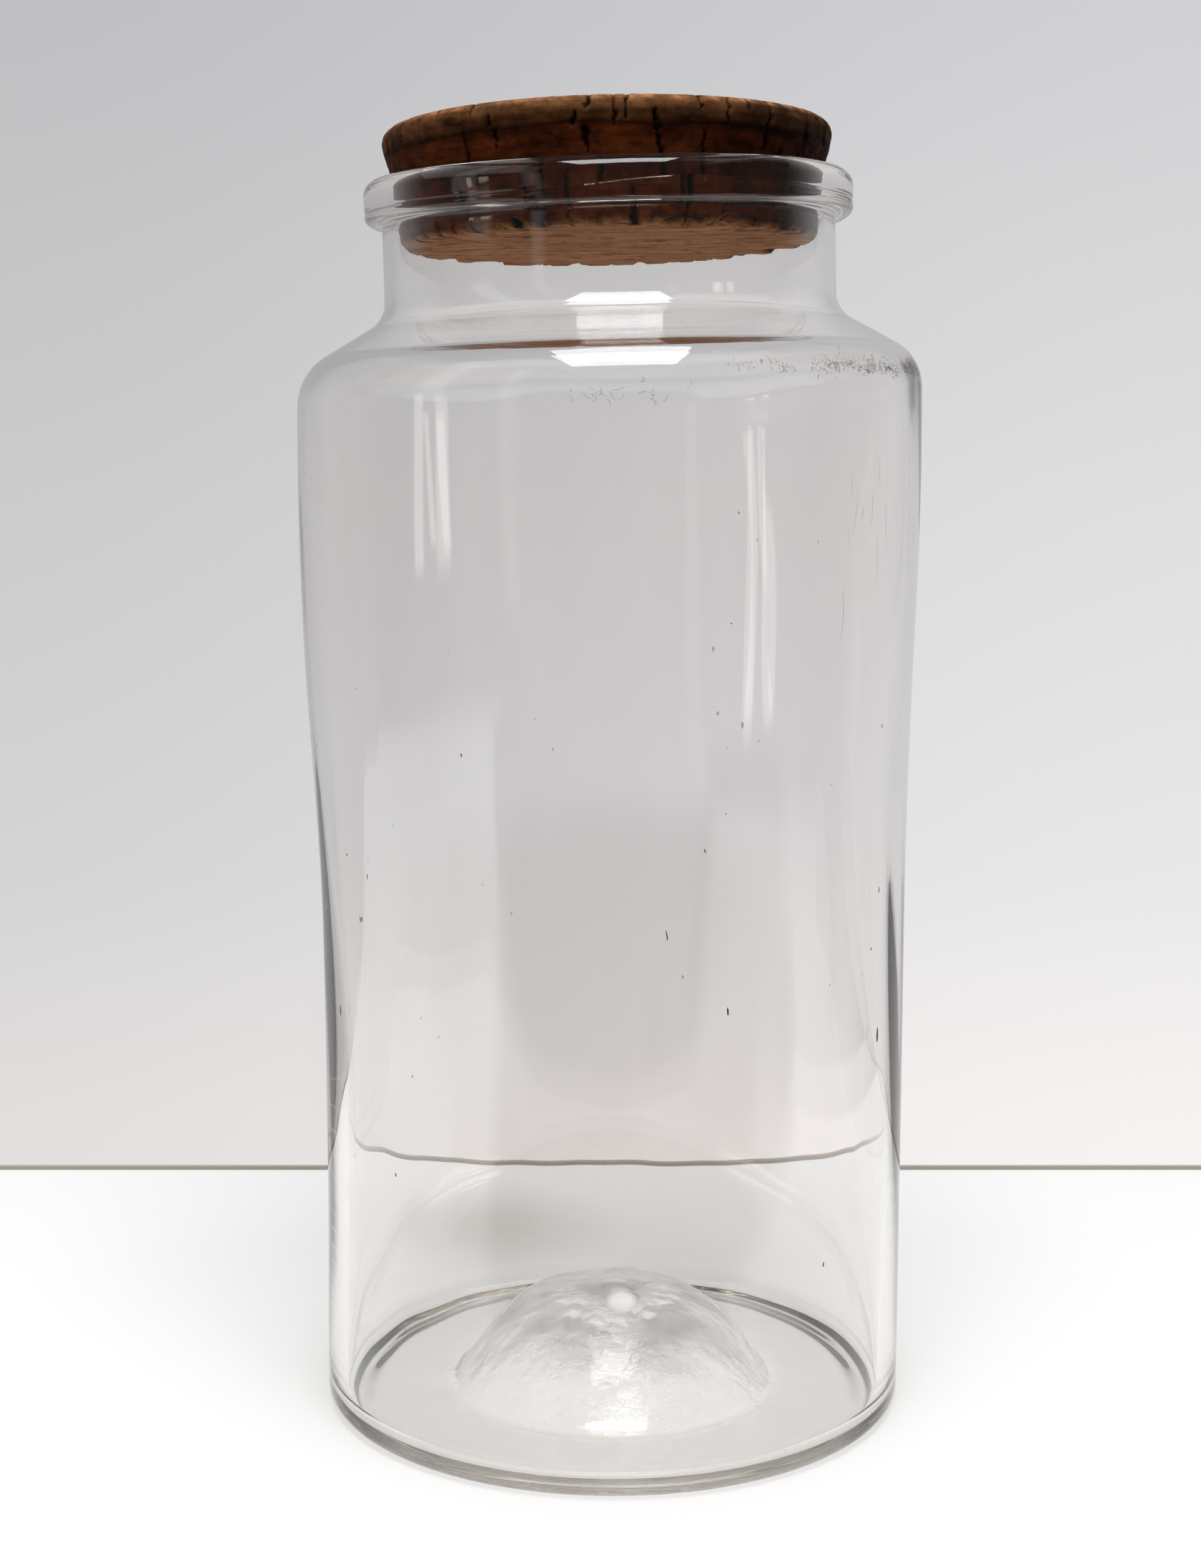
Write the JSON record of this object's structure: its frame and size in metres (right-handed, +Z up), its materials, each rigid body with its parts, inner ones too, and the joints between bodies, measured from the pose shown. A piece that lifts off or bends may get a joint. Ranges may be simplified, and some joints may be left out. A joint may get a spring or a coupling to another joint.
{
  "type": "specimen jar",
  "caption": "Tall hand-blown clear glass specimen jar with round shoulder, rolled lip, kicked-up base and a wide tapered cork stopper that lifts out.",
  "frame": {"origin": "centre of the foot ring, on the surface the jar stands on", "axes": "+Z up along the body's axis; the mouth leans 1.3 degrees towards -X, where the shoulder and lip are lowest"},
  "size_m": [0.1572, 0.1572, 0.3277],
  "materials": {
    "glass": "gloss",
    "cork": "natural cork, matte"
  },
  "bodies": {
    "jar": {"glass_jar": "glass"},
    "stopper": {"cork_stopper": "cork"}
  },
  "joints": [
    {"name": "stopper_lift", "type": "slide", "parent": "jar", "child": "stopper", "axis": [-0.0227, 0, 0.9997], "range_m": [0, 0.06]}
  ]
}
